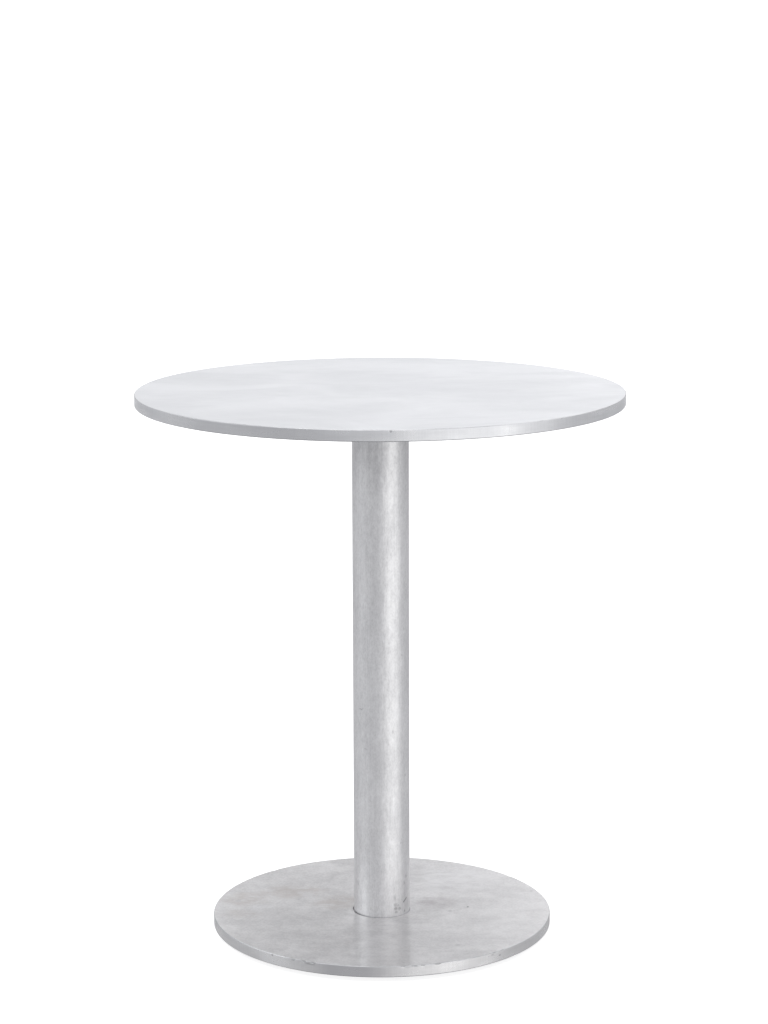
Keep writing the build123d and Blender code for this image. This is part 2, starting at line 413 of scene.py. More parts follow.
# Nicks in an upper edge: angle from +X in degrees, half-width along the rim, depth, slant
TOP_NICKS = (
    (-87.8, 1.2 * MM, 0.9 * MM, 0.0),
    (-52.0, 2.2 * MM, 0.4 * MM, 0.3),
    (-121.0, 2.6 * MM, 0.35 * MM, -0.4),
    (64.0, 2.0 * MM, 0.6 * MM, 0.2),
    (151.0, 3.0 * MM, 0.5 * MM, 0.0),
)
BASE_NICKS = (
    (-128.8, 1.3 * MM, 0.9 * MM, 0.0),
    (-120.3, 3.0 * MM, 1.0 * MM, 1.5),
    (-116.2, 2.6 * MM, 1.2 * MM, -1.6),
    (-112.8, 3.2 * MM, 1.3 * MM, -2.0),
    (-83.3, 2.4 * MM, 0.8 * MM, 1.0),
    (-79.5, 3.0 * MM, 0.7 * MM, -1.0),
    (-76.7, 2.0 * MM, 0.9 * MM, 0.5),
    (-71.6, 3.2 * MM, 0.9 * MM, -0.6),
    (-50.0, 2.6 * MM, 0.7 * MM, 1.5),
    (-46.5, 2.2 * MM, 0.7 * MM, -1.5),
    (38.0, 3.0 * MM, 0.7 * MM, 0.4),
    (132.0, 4.0 * MM, 0.6 * MM, -0.6),
)
NICK_SHADE = 0.50
NICK_SHADE_WIDTH = 1.6
NICK_SHADE_DEPTH = 1.2

# Painted highlights and painted shade on the rims and bevels, and dark spots at nicks: angle from +X in
# degrees,
# then millimetres: distance below the upper face, half-width round the rim, half-height; and last tint and
# strength
# PAINTED_SHADE darkens a rim where its reflection is darkest; PAINTED_HIGHLIGHT lightens rims and bevels
# where they catch the light
PAINTED_SHADE = (0.56, 0.56, 0.58, 1.0)
PAINTED_HIGHLIGHT = (0.92, 0.92, 0.93, 1.0)
# The top's rim: two patches of painted shade, and a dark spot at a nick
TOP_RIM_SHADE_AND_SPOTS = (
    (-122, 7.0, 150.0, 150.0, PAINTED_SHADE, 0.55),
    (8, 7.0, 120.0, 120.0, PAINTED_SHADE, 0.30),
    (-87.8, 1.8, 2.0, 2.2, GRIME, 0.60),
)
# A painted highlight along the front right of the top's bevel
TOP_BEVEL_HIGHLIGHTS = ((-47, 0.0, 110.0, 20.0, PAINTED_HIGHLIGHT, 0.70),)
# The base's rim: painted highlights at -128 and -44 degrees, painted shade at -101, and dark spots at its
# nicks
BASE_RIM_LIGHT_AND_SPOTS = (
    (-128, 7.0, 34.0, 34.0, PAINTED_HIGHLIGHT, 0.55),
    (-101, 7.0, 52.0, 52.0, PAINTED_SHADE, 0.70),
    (-44, 7.0, 50.0, 50.0, PAINTED_HIGHLIGHT, 0.10),
    (-128.8, 2.0, 2.2, 1.6, GRIME, 0.45),
    (-120.3, 2.0, 3.0, 1.4, GRIME, 0.40),
    (-114.0, 3.6, 9.0, 1.3, GRIME, 0.50),
    (-80.0, 1.6, 11.0, 0.9, GRIME, 0.35),
    (-71.8, 1.4, 4.0, 1.2, GRIME, 0.40),
    (-47.7, 6.4, 2.6, 1.6, GRIME, 0.45),
    (-51.0, 3.0, 3.0, 1.4, GRIME, 0.35),
)
# A painted highlight along the front right of the base's bevel
BASE_BEVEL_HIGHLIGHTS = ((-36, 0.0, 75.0, 20.0, PAINTED_HIGHLIGHT, 0.65),)


# How ragged the edges of marks, films and patches of painted light are, and where a mark begins and ends as
# a share of its size
MARK_RAGGED = 0.9
BASE_FILM_RAGGED = 0.6
RIM_PATCH_RAGGED = 0.3
RAGGED_NOISE = (1.3, 1.3, 1.3)
MARK_CORE = -0.1
MARK_EDGE = 0.6
STREAK_CORE = 0.2

# The base's films are torn where this noise is low: its features to the metre, and its two limits
TORN_NOISE = (34.0, 62.0, 1.0)
TORN_LOW = 0.33
TORN_HIGH = 0.62


def around(radius, angle, height):
    """A place on an upright cylinder about Z, by its angle in degrees and its height."""
    turn = math.radians(angle)
    return Vector((radius * math.cos(turn), radius * math.sin(turn), height))


def blot(nodes, place, centre, size, ragged=MARK_RAGGED):
    """A mask that is 1 at a centre and fades to 0 at a ragged oval edge of the given half-sizes."""
    offset = nodes.vector("DIVIDE", nodes.vector("SUBTRACT", place, centre), size)
    away = nodes.vector("LENGTH", offset)
    uneven = nodes.noise(offset, RAGGED_NOISE, detail=3.0, roughness=0.6)
    reach = nodes.layers((uneven, 2 * ragged), (away, 1.0))
    return nodes.remap(reach, MARK_CORE, MARK_EDGE, 1.0, 0.0)


def streak(nodes, place, start, end, width):
    """A mask that is 1 along a straight scratch and fades to 0 at its half-width."""
    along = end - start
    offset = nodes.vector("SUBTRACT", place, start)
    reach = nodes.vector("DOT_PRODUCT", offset, along)
    share = nodes.maths("DIVIDE", reach, along.length_squared, clamp=True)
    away = nodes.vector("DISTANCE", offset, nodes.vector("SCALE", along, scale=share))
    return nodes.remap(away, STREAK_CORE * width, width, 1.0, 0.0)


def tube_marks(nodes, place, colour):
    """The column's small stains, scuffs and one scratch near its foot."""
    for angle, height, across, tall, strength in TUBE_MARKS:
        centre = around(TUBE_RADIUS, angle, height * MM)
        mask = blot(nodes, place, centre, (across * MM, across * MM, tall * MM))
        colour = nodes.blend(nodes.maths("MULTIPLY", mask, strength), colour, GRIME)
    start, end = (around(TUBE_RADIUS, angle, height) for angle, height in TUBE_SCRATCH)
    mask = streak(nodes, place, start, end, TUBE_SCRATCH_WIDTH)
    return nodes.blend(nodes.maths("MULTIPLY", mask, TUBE_SCRATCH_STRENGTH), colour, GRIME)


def base_marks(nodes, place, colour):
    """The base's films of oxide and its few dark spots."""
    patches = nodes.noise(place, TORN_NOISE, detail=4.0, roughness=0.65)
    torn = nodes.remap(patches, TORN_LOW, TORN_HIGH)
    for x, y, long, wide, tint, strength in BASE_FILMS:
        centre, size = (x * MM, y * MM, BASE_HIGH), (long * MM, wide * MM, 1.0)
        mask = blot(nodes, place, centre, size, BASE_FILM_RAGGED)
        cover = nodes.maths("MULTIPLY", nodes.maths("MULTIPLY", mask, torn), strength)
        colour = nodes.blend(cover, colour, tint)
    for x, y, long, wide, strength in BASE_MARKS:
        centre, size = (x * MM, y * MM, BASE_HIGH), (long * MM, wide * MM, 1.0)
        mask = blot(nodes, place, centre, size)
        colour = nodes.blend(nodes.maths("MULTIPLY", mask, strength), colour, GRIME)
    return colour


def rim_marks(radius, level, nicks, tints):
    """Marks for a plate's rim: patches of painted highlight and painted shade round it, dark spots, and the
    nicks of its upper edge darkened.
    """

    def marks(nodes, place, colour):
        # Patches of painted highlight and painted shade, and dark spots
        for angle, drop, half_width, half_height, tint, strength in tints:
            centre = around(radius, angle, level - drop * MM)
            size = (half_width * MM, half_width * MM, half_height * MM)
            mask = blot(nodes, place, centre, size, RIM_PATCH_RAGGED)
            colour = nodes.blend(nodes.maths("MULTIPLY", mask, strength), colour, tint)
        for angle, half_width, depth, _ in nicks:
            centre = around(radius, angle, level - depth)
            across = NICK_SHADE_WIDTH * half_width
            size = (across, across, NICK_SHADE_DEPTH * depth)
            mask = blot(nodes, place, centre, size)
            colour = nodes.blend(nodes.maths("MULTIPLY", mask, NICK_SHADE), colour, GRIME)
        return colour

    return marks


# ---------------------------------------------------------------- materials

# The colours that each finish clouds between: where it is dull, and where it is pale
TOP_DULL, TOP_PALE = (0.750, 0.755, 0.768, 1.0), (0.815, 0.820, 0.832, 1.0)
BASE_DULL, BASE_PALE = (0.712, 0.704, 0.706, 1.0), (0.780, 0.772, 0.772, 1.0)
TUBE_DULL, TUBE_PALE = (0.800, 0.800, 0.812, 1.0), (0.868, 0.868, 0.878, 1.0)
TOP_RIM_DULL, TOP_RIM_PALE = (0.790, 0.798, 0.818, 1.0), (0.865, 0.873, 0.890, 1.0)
BASE_RIM_DULL, BASE_RIM_PALE = (0.725, 0.722, 0.728, 1.0), (0.803, 0.801, 0.806, 1.0)
BEVEL_DULL, BEVEL_PALE = (0.58, 0.585, 0.595, 1.0), (0.66, 0.665, 0.675, 1.0)
# The flange's colours are darker than the other aluminium: painted shade under the top
TURNED_SHADED_DULL, TURNED_SHADED_PALE = (0.50, 0.50, 0.51, 1.0), (0.60, 0.60, 0.61, 1.0)
ZINC_DULL, ZINC_PALE = (0.58, 0.60, 0.62, 1.0), (0.74, 0.75, 0.76, 1.0)
PLASTIC_DARK, PLASTIC_DUSTY = (0.022, 0.022, 0.024, 1.0), (0.060, 0.060, 0.062, 1.0)
RUBBER_DARK, RUBBER_DUSTY = (0.030, 0.030, 0.032, 1.0), (0.090, 0.088, 0.085, 1.0)

# Roughness as (smoothest, roughest), and the size and depth of the grain of what is moulded
RIM_ROUGHNESS = (0.26, 0.34)
BEVEL_ROUGHNESS = (0.48, 0.60)
PLASTIC_ROUGHNESS = (0.45, 0.60)
RUBBER_ROUGHNESS = (0.75, 0.92)
PLASTIC_GRAIN, PLASTIC_GRAIN_DEPTH = 0.6 * MM, 0.03 * MM
RUBBER_GRAIN, RUBBER_GRAIN_DEPTH = 0.9 * MM, 0.05 * MM

# Below, each noise has its features to the metre along X, Y and Z, and each layer of colour its weight


def finish_material(name, metallic, specular=0.5):
    """A material with an empty node tree and its shader; the caller feeds the shader's sockets."""
    material = bpy.data.materials.new(name)
    material.use_nodes = True
    nodes = Nodes(material.node_tree)
    shader = nodes.add("ShaderNodeBsdfPrincipled", Metallic=metallic)
    shader.inputs["Specular IOR Level"].default_value = specular
    nodes.add("ShaderNodeOutputMaterial", Surface=shader.outputs[0])
    return material, nodes, shader


def relief(nodes, shader, *parts):
    """Feeds the shader's normal from the sum of (noise, height in metres) pairs."""
    bump = nodes.add("ShaderNodeBump", Strength=1.0, Distance=1.0, Height=nodes.layers(*parts))
    nodes.feed(shader.inputs["Normal"], bump.outputs[0])


def top_face():
    """The top's faces: mill finish with faint lines along X and soft clouds drawn out along them."""
    material, nodes, shader = finish_material("top_face", 1.0)
    shader.inputs["Anisotropic"].default_value = 0.5
    nodes.feed(shader.inputs["Tangent"], nodes.add("ShaderNodeCombineXYZ", Y=1.0).outputs[0])
    place = nodes.position()
    clouds = nodes.noise(place, (4.5, 6.5, 6.5), detail=3.0, roughness=0.5, distortion=0.7)
    wisps = nodes.noise(place, (9.0, 13.0, 13.0), detail=3.0, roughness=0.55, distortion=0.8)
    blotches = nodes.noise(place, (90.0, 150.0, 90.0), detail=3.0, roughness=0.6)
    lines = nodes.noise(place, (6.0, 420.0, 6.0), detail=3.0, roughness=0.7)
    hairs = nodes.noise(place, (30.0, 2400.0, 30.0), detail=1.0)
    colour = nodes.blend(nodes.remap(clouds, 0.34, 0.66), TOP_DULL, TOP_PALE)
    side = nodes.add("ShaderNodeSeparateXYZ", Vector=place).outputs[0]
    # Painted light: the face is darker towards its left edge and lighter towards the right
    right_side_light = nodes.remap(nodes.layers((side, 1.0), (clouds, 0.3)), -0.85, -0.15)
    fine = ((blotches, 0.06), (lines, 0.03), (hairs, 0.03))
    colour = nodes.shade(colour, (right_side_light, 0.07), (wisps, 0.16), *fine)
    nodes.feed(shader.inputs["Base Color"], colour)
    worn = nodes.layers((clouds, 0.7), (wisps, 0.5), (lines, 0.2))
    nodes.feed(shader.inputs["Roughness"], nodes.remap(worn, -0.14, 0.14, 0.47, 0.37))
    relief(nodes, shader, (wisps, 0.00040), (blotches, 0.000012), (lines, 0.000006), (hairs, 0.0000015))
    return material


def base_face():
    """The base's faces: duller and more mottled, lightened towards their right by painted light, with films
    and spots.
    """
    material, nodes, shader = finish_material("base_face", 1.0)
    shader.inputs["Anisotropic"].default_value = 0.95
    nodes.feed(shader.inputs["Tangent"], nodes.add("ShaderNodeCombineXYZ", Y=1.0).outputs[0])
    place = nodes.position()
    clouds = nodes.noise(place, (9.0, 15.0, 15.0), detail=4.0, roughness=0.6, distortion=0.8)
    blotches = nodes.noise(place, (70.0, 60.0, 60.0), detail=4.0, roughness=0.65)
    mottle = nodes.noise(place, (330.0, 260.0, 260.0), detail=3.0, roughness=0.6)
    lines = nodes.noise(place, (8.0, 340.0, 8.0), detail=3.0, roughness=0.7)
    colour = nodes.blend(nodes.remap(clouds, 0.34, 0.66), BASE_DULL, BASE_PALE)
    side = nodes.add("ShaderNodeSeparateXYZ", Vector=place).outputs[0]
    # Painted light: the face is lighter towards the right
    right_side_light = nodes.remap(nodes.layers((side, 1.0), (clouds, 0.12)), -0.62, -0.34)
    colour = nodes.shade(colour, (right_side_light, 0.14), (blotches, 0.24), (mottle, 0.30), (lines, 0.07))
    nodes.feed(shader.inputs["Base Color"], base_marks(nodes, place, colour))
    worn = nodes.layers((clouds, 0.5), (blotches, 0.5), (mottle, 0.2))
    nodes.feed(shader.inputs["Roughness"], nodes.remap(worn, -0.14, 0.14, 0.42, 0.30))
    relief(nodes, shader, (clouds, 0.00020), (blotches, 0.00004), (mottle, 0.000012), (lines, 0.000006))
    return material


def cut_edge(name, dull, pale, roughness, marks):
    """A plate's cut rim: upright cutting lines round it and faint bands along it."""
    material, nodes, shader = finish_material(name, 1.0)
    place = nodes.position()
    clouds = nodes.noise(place, (18.0, 18.0, 60.0), detail=3.0)
    upright = nodes.noise(place, (520.0, 520.0, 14.0), detail=3.0, roughness=0.6)
    along = nodes.noise(place, (10.0, 10.0, 420.0), detail=3.0, roughness=0.6)
    grain = nodes.noise(place, (700.0, 700.0, 900.0), detail=2.0)
    colour = nodes.blend(nodes.remap(clouds, 0.35, 0.65), dull, pale)
    colour = nodes.shade(colour, (upright, 0.14), (along, 0.12), (grain, 0.10))
    nodes.feed(shader.inputs["Base Color"], marks(nodes, place, colour))
    smooth, rough = roughness
    nodes.feed(shader.inputs["Roughness"], nodes.remap(clouds, 0.35, 0.65, rough, smooth))
    relief(nodes, shader, (clouds, 0.0003), (upright, 0.000022), (along, 0.00003), (grain, 0.000006))
    return material


def tube_skin(name, marks):
    """Drawn tube: a satin, granular skin drawn out along it, cloudy, and darkened towards its head by
    painted shade from the top.
    """
    material, nodes, shader = finish_material(name, 1.0)
    place = nodes.position()
    clouds = nodes.noise(place, (30.0, 30.0, 11.0), detail=4.0, roughness=0.6)
    waves = nodes.noise(place, (55.0, 55.0, 16.0), detail=3.0, roughness=0.55)
    mottle = nodes.noise(place, (190.0, 190.0, 90.0), detail=3.0, roughness=0.6)
    grain = nodes.noise(place, (620.0, 620.0, 300.0), detail=2.0, roughness=0.6)
    lines = nodes.noise(place, (700.0, 700.0, 7.0), detail=2.0, roughness=0.6)
    colour = nodes.blend(nodes.remap(clouds, 0.36, 0.64), TUBE_DULL, TUBE_PALE)
    level = nodes.add("ShaderNodeSeparateXYZ", Vector=place).outputs[2]
    # Painted shade: the colour grows darker towards the head, under the top
    shaded = nodes.remap(level, TUBE_HIGH - TUBE_SHADE_LENGTH, TUBE_HIGH, 0.5, 0.5 - TUBE_HEAD_SHADE)
    fine = ((mottle, 0.28), (grain, 0.33), (lines, 0.15))
    colour = nodes.shade(colour, (shaded, 1.0), (waves, 0.14), *fine)
    nodes.feed(shader.inputs["Base Color"], marks(nodes, place, colour))
    worn = nodes.layers((clouds, 0.6), (mottle, 0.4), (grain, 0.2))
    nodes.feed(shader.inputs["Roughness"], nodes.remap(worn, -0.12, 0.12, 0.43, 0.34))
    relief(nodes, shader, (waves, 0.00090), (mottle, 0.00030), (grain, 0.00007), (lines, 0.000020))
    return material


def turned_metal(name):
    """Lathe-turned aluminium: fine rings round the Z axis, with a slight cloudiness, its colours darkened as
    painted shade under the top.
    """
    material, nodes, shader = finish_material(name, 1.0)
    place = nodes.position()
    reach = nodes.vector("LENGTH", nodes.vector("MULTIPLY", place, (1.0, 1.0, 0.0)))
    swept = nodes.add("ShaderNodeCombineXYZ", X=reach).outputs[0]
    rings = nodes.noise(swept, (1800.0, 1.0, 1.0), detail=2.0)
    passes = nodes.noise(swept, (260.0, 1.0, 1.0), detail=2.0)
    clouds = nodes.noise(place, (28.0, 28.0, 28.0), detail=3.0)
    colour = nodes.blend(nodes.remap(clouds, 0.35, 0.65), TURNED_SHADED_DULL, TURNED_SHADED_PALE)
    nodes.feed(shader.inputs["Base Color"], nodes.shade(colour, (rings, 0.10), (passes, 0.08)))
    nodes.feed(shader.inputs["Roughness"], nodes.remap(clouds, 0.35, 0.65, 0.38, 0.29))
    relief(nodes, shader, (rings, 0.000012), (passes, 0.00003))
    return material


def plated_steel(name):
    """Bright zinc plate: bluish, a little cloudy, with fine grain."""
    material, nodes, shader = finish_material(name, 1.0)
    place = nodes.position()
    clouds = nodes.noise(place, (170.0, 170.0, 170.0), detail=3.0)
    grain = nodes.noise(place, (1500.0, 1500.0, 1500.0), detail=2.0)
    colour = nodes.blend(nodes.remap(clouds, 0.35, 0.65), ZINC_DULL, ZINC_PALE)
    nodes.feed(shader.inputs["Base Color"], nodes.shade(colour, (grain, 0.15)))
    nodes.feed(shader.inputs["Roughness"], nodes.remap(clouds, 0.35, 0.65, 0.36, 0.22))
    relief(nodes, shader, (clouds, 0.00003), (grain, 0.000003))
    return material


def moulded(name, dark, dusty, roughness, grain_size, depth):
    """Moulded plastic or rubber: a fine even grain, dusty in patches."""
    material, nodes, shader = finish_material(name, 0.0, specular=0.4)
    place = nodes.position()
    dust = nodes.noise(place, (140.0, 140.0, 140.0), detail=4.0, roughness=0.6)
    grain = nodes.noise(place, (1.0 / grain_size,) * 3, detail=2.0)
    colour = nodes.blend(nodes.remap(dust, 0.45, 0.75), dark, dusty)
    nodes.feed(shader.inputs["Base Color"], nodes.shade(colour, (grain, 0.3)))
    nodes.feed(shader.inputs["Roughness"], nodes.remap(grain, 0.3, 0.7, *roughness))
    relief(nodes, shader, (grain, depth))
    return material


# ---------------------------------------------------------------- meshes


ROUNDING_STEPS = 4
HOLD = 0.3 * MM  # how far past a rounding its held point is
HOLD_ROOM = 2.5  # a side gets a held point if it is this many times as long as the rounding and its hold
SIDE_SHARE = 0.4  # the most of a side that one rounding takes up


def rounded(corners, radius):
    """An outline of (radius, height) corners with its inner corners rounded. A point held on each side
    of a rounding keeps the flat stretches between them flat when shaded."""
    points = [Vector(corners[0])]
    for before, corner, after in zip(corners, corners[1:], corners[2:]):
        corner = Vector(corner)
        back, on = Vector(before) - corner, Vector(after) - corner
        reach = min(radius, back.length * SIDE_SHARE, on.length * SIDE_SHARE)
        start = corner + back.normalized() * reach
        end = corner + on.normalized() * reach
        if back.length > HOLD_ROOM * (reach + HOLD):
            points.append(start + back.normalized() * HOLD)
        for i in range(ROUNDING_STEPS + 1):
            share = i / ROUNDING_STEPS
            points.append((1 - share) ** 2 * start + 2 * share * (1 - share) * corner + share**2 * end)
        if on.length > HOLD_ROOM * (reach + HOLD):
            points.append(end + on.normalized() * HOLD)
    points.append(Vector(corners[-1]))
    return points


def add_lathe(mesh, outline, steps, centre=AXIS, wear=None, closed=False):
    """Adds a turned shell about an upright axis from an outline of (radius, height) points. An end on the
    axis is closed by one flat face. wear(point) says where a point of the surface ends up."""
    rings = []
    for radius, height in outline:
        ring = []
        for i in range(steps if radius > 0.0 else 0):
            turn = 2 * math.pi * i / steps
            point = Vector((radius * math.cos(turn), radius * math.sin(turn), height))
            point = wear(point) if wear else point
            ring.append(mesh.verts.new(point + Vector((*centre, 0.0))))
        rings.append(ring)
    pairs = list(zip(rings, rings[1:]))
    if closed:
        pairs.append((rings[-1], rings[0]))
    for one, two in pairs:
        if one and two:
            for i in range(steps):
                j = (i + 1) % steps
                mesh.faces.new((one[i], two[i], two[j], one[j]))
        elif one or two:
            mesh.faces.new(one or two)


# A standard 60 degree thread, in shares of its pitch: its depth, and (phase, height) points of its form
THREAD_DEPTH = 0.5413
THREAD_FORM = ((0.0, 0.0), (0.25, 0.0), (0.5625, 1.0), (0.6875, 1.0), (1.0, 0.0))


def in_order(elements):
    """Each element once, in the order given. The order of a set would change from run to run."""
    return list(dict.fromkeys(elements))


def thread_height(phase):
    """How far from root to crest a standard 60 degree thread stands at a phase of its pitch."""
    phase = phase % 1.0
    for (low, from_height), (high, to_height) in zip(THREAD_FORM, THREAD_FORM[1:]):
        if phase <= high:
            return from_height + (to_height - from_height) * (phase - low) / (high - low)
    return 0.0


def add_thread(mesh, radius, pitch, low, high, centre, lead):
    """Adds a closed shaft with a right-hand thread between two levels, with a chamfer at each end."""
    laps = math.ceil((high - low) / pitch) + 1
    rows = []
    for i in range(THREAD_STEPS + 1):
        share = i / THREAD_STEPS
        turn = 2 * math.pi * share
        row = []
        for lap in range(-1, laps):
            for phase, _ in THREAD_FORM[:-1]:
                level = min(max(low + (lap + phase + share) * pitch, low), high)
                crest = thread_height((level - low) / pitch - share)
                reach = radius - THREAD_DEPTH * pitch * (1.0 - crest)
                reach = min(reach, radius - lead + min(level - low, high - level))
                x = centre[0] + reach * math.cos(turn)
                y = centre[1] + reach * math.sin(turn)
                row.append(mesh.verts.new((x, y, level)))
        rows.append(row)
    sides = []
    for one, two in zip(rows, rows[1:]):
        for j in range(len(one) - 1):
            sides.append(mesh.faces.new((one[j], two[j], two[j + 1], one[j + 1])))
    corners = in_order(corner for face in sides for corner in face.verts)
    bmesh.ops.remove_doubles(mesh, verts=corners, dist=SAME_POINT)
    open_edges = [edge for edge in mesh.edges if edge.is_boundary]
    bmesh.ops.holes_fill(mesh, edges=open_edges, sides=0)


def add_hexagon(mesh, across_flats, low, high, centre, bevel):
    """Adds an upright hexagonal slab with softened edges."""
    made = bmesh.ops.create_cone(
        mesh,
        cap_ends=True,
        segments=6,
        radius1=across_flats / math.sqrt(3.0),
        radius2=across_flats / math.sqrt(3.0),
        depth=high - low,
        matrix=Matrix.Translation((*centre, (low + high) / 2)),
    )
    edges = in_order(edge for corner in made["verts"] for edge in corner.link_edges)
    bmesh.ops.bevel(mesh, geom=edges, offset=bevel, segments=2, profile=0.5, affect="EDGES")


def finished_mesh(name, mesh):
    """Turns a bmesh into mesh data with its normals outwards, smooth except at sharp edges."""
    bmesh.ops.recalc_face_normals(mesh, faces=mesh.faces)
    data = bpy.data.meshes.new(name)
    mesh.to_mesh(data)
    mesh.free()
    data.shade_smooth()
    data.set_sharp_from_angle(angle=SHARP_ANGLE)
    return data


def place_piece(name, data, body, nodes, materials):
    """Puts a mesh in the scene as a piece that stands for CAD nodes and rides on a body."""
    piece = bpy.data.objects.new(name, data)
    bpy.context.scene.collection.objects.link(piece)
    for material in materials:
        data.materials.append(material)
    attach(piece, body)
    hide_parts(*nodes)
    return piece


def turned_piece(name, outline, body, node, material, steps=SMALL_STEPS, centre=AXIS, closed=False):
    """A turned piece that stands for one CAD node."""
    mesh = bmesh.new()
    add_lathe(mesh, outline, steps, centre, closed=closed)
    return place_piece(name, finished_mesh(name, mesh), body, [node], [material])


def cut_holes(piece, holes):
    """Cuts upright round holes, given as (x, y, radius, low, high), out of a piece."""
    mesh = bmesh.new()
    for x, y, radius, low, high in holes:
        bmesh.ops.create_cone(
            mesh,
            cap_ends=True,
            segments=HOLE_STEPS,
            radius1=radius,
            radius2=radius,
            depth=high - low,
            matrix=Matrix.Translation((x, y, (low + high) / 2)),
        )
    cutter = bpy.data.objects.new("cutter", finished_mesh("cutter", mesh))
    bpy.context.scene.collection.objects.link(cutter)
    difference = piece.modifiers.new("holes", "BOOLEAN")
    difference.operation = "DIFFERENCE"
    difference.solver = "EXACT"
    difference.object = cutter
    bpy.context.view_layer.update()
    cut = bpy.data.meshes.new_from_object(piece.evaluated_get(bpy.context.evaluated_depsgraph_get()))
    piece.modifiers.clear()
    piece.data = cut
    cut.shade_smooth()
    cut.set_sharp_from_angle(angle=SHARP_ANGLE)
    bpy.data.objects.remove(cutter)


def ring_places(circle_radius, count):
    """Evenly spaced (x, y) places on a circle about Z."""
    turns = [2 * math.pi * i / count for i in range(count)]
    return [(circle_radius * math.cos(turn), circle_radius * math.sin(turn)) for turn in turns]


# ---------------------------------------------------------------- the two plates

# Rings of points this far in from a plate's edge, close enough together to carry its nicks and roll-off
EDGE_RINGS = tuple(reach * MM for reach in (0.6, 1.2, 2.0, 3.2, 5.0, 8.0, 12.0, 17.0))
UPPER_RIM_RINGS = EDGE_RINGS[:5]
LOWER_RIM_RINGS = EDGE_RINGS[:3]
HELD_FLAT = 4.0 * MM  # the flat held beside the groove and the nut's recess

# The roll-off of an upper face: how far in and how deep it reaches, and its drop at the edge
ROLL_WIDTH = 16.0 * MM
ROLL_DEPTH = 2.0 * MM
ROLL_DROP = 0.08 * MM

# An upper edge is pushed in by uneven waves within this reach of it, and nothing is past WORN_DEPTH
WORN_DEPTH = 9.0 * MM
EDGE_WAVINESS = 0.07 * MM
EDGE_WAVES = 60.0
WAVE_REACH = 1.2 * MM
TOP_WAVE_SEED = 3.0
BASE_WAVE_SEED = 7.0

# A nick fades over its half-width, and over its depth times NICK_SPREAD plus NICK_MARGIN from the edge
NICK_LIMIT = 3
NICK_SPREAD = 1.5
NICK_MARGIN = 1.0 * MM
PUSH_SHARE = 0.7  # how much of a push goes each of inwards and down

# How level a surface is, as its normal's height, from which it is a face and up to which it is a rim
FACE_LIFT = 0.93
RIM_LIFT = 0.35


def plate_rim(radius, low, high):
    """The part of a round plate's half outline from its upper face round the rim to its lower face."""
    face = radius - PLATE_CHAMFER
    chamfered = rounded(
        [
            (face - EDGE_RINGS[0], high),
            (face, high),
            (radius, high - PLATE_CHAMFER),
            (radius, low + PLATE_CHAMFER),
            (face, low),
            (face - EDGE_RINGS[0], low),
        ],
        PLATE_ROUNDING,
    )
    rim = [Vector((face - reach, high)) for reach in EDGE_RINGS[::-1]]
    for before, after in zip(chamfered[1:], chamfered[2:-1]):
        rim.append(before)
        if (after - before).length > 2 * UPPER_RIM_RINGS[-1]:
            rim += [before - Vector((0.0, reach)) for reach in UPPER_RIM_RINGS]
            rim += [after + Vector((0.0, reach)) for reach in LOWER_RIM_RINGS[::-1]]
    rim.append(chamfered[-2])
    return rim + [Vector((face - reach, low)) for reach in EDGE_RINGS]


def worn_plate(radius, level, nicks, seed):
    """A plate's wear: an upper face that rolls off at its edge, an uneven bevel, and nicks in it."""

    def wear(point):
        reach = math.hypot(point.x, point.y)
        inside = radius - reach
        if inside > ROLL_WIDTH:
            return point
        turn = math.atan2(point.y, point.x)
        outward = Vector((math.cos(turn), math.sin(turn), 0.0))
        above = max(0.0, 1.0 - (level - point.z) / ROLL_DEPTH)
        drop = ROLL_DROP * above * (1.0 - inside / ROLL_WIDTH) ** 2
        away = math.hypot(inside, level - point.z)
        push = 0.0
        if away < WORN_DEPTH:
            wave = Vector((math.cos(turn) * EDGE_WAVES, math.sin(turn) * EDGE_WAVES, seed))
            push = EDGE_WAVINESS * noise.noise(wave) * math.exp(-((away / WAVE_REACH) ** 2))
            for angle, half_width, depth, slant in nicks:
                offset = (turn - math.radians(angle) + math.pi) % (2 * math.pi) - math.pi
                arc = offset * radius - slant * (level - point.z)
                if abs(arc) < NICK_LIMIT * half_width:
                    spread = NICK_SPREAD * depth + NICK_MARGIN
                    push += depth * math.exp(-((arc / half_width) ** 2) - (away / spread) ** 2)
        return point - (outward + Vector((0, 0, 1))) * push * PUSH_SHARE - Vector((0, 0, drop))

    return wear


def plate_finishes(data):
    """Gives a plate its first material where it is level, its second where upright, its third between."""
    for polygon in data.polygons:
        lift = abs(polygon.normal.z)
        polygon.material_index = 0 if lift > FACE_LIFT else 1 if lift < RIM_LIFT else 2


def make_table_top(face, rim, bevel):
    mesh = bmesh.new()
    outline = [(0.0, TOP_HIGH), *plate_rim(TOP_RADIUS, TOP_LOW, TOP_HIGH), (0.0, TOP_LOW)]
    wear = worn_plate(TOP_RADIUS, TOP_HIGH, TOP_NICKS, TOP_WAVE_SEED)
    add_lathe(mesh, outline, TOP_STEPS, wear=wear)
    data = finished_mesh("top_disc", mesh)
    piece = place_piece("top_disc", data, "table", ["table_top"], [face, rim, bevel])
    low, high = TOP_LOW - PAST, TOP_LOW + TAPPED_TOP_DEPTH
    places = ring_places(SCREW_CIRCLE_RADIUS, SCREW_COUNT)
    cut_holes(piece, [(x, y, TAPPED_TOP_RADIUS, low, high) for x, y in places])
    plate_finishes(piece.data)


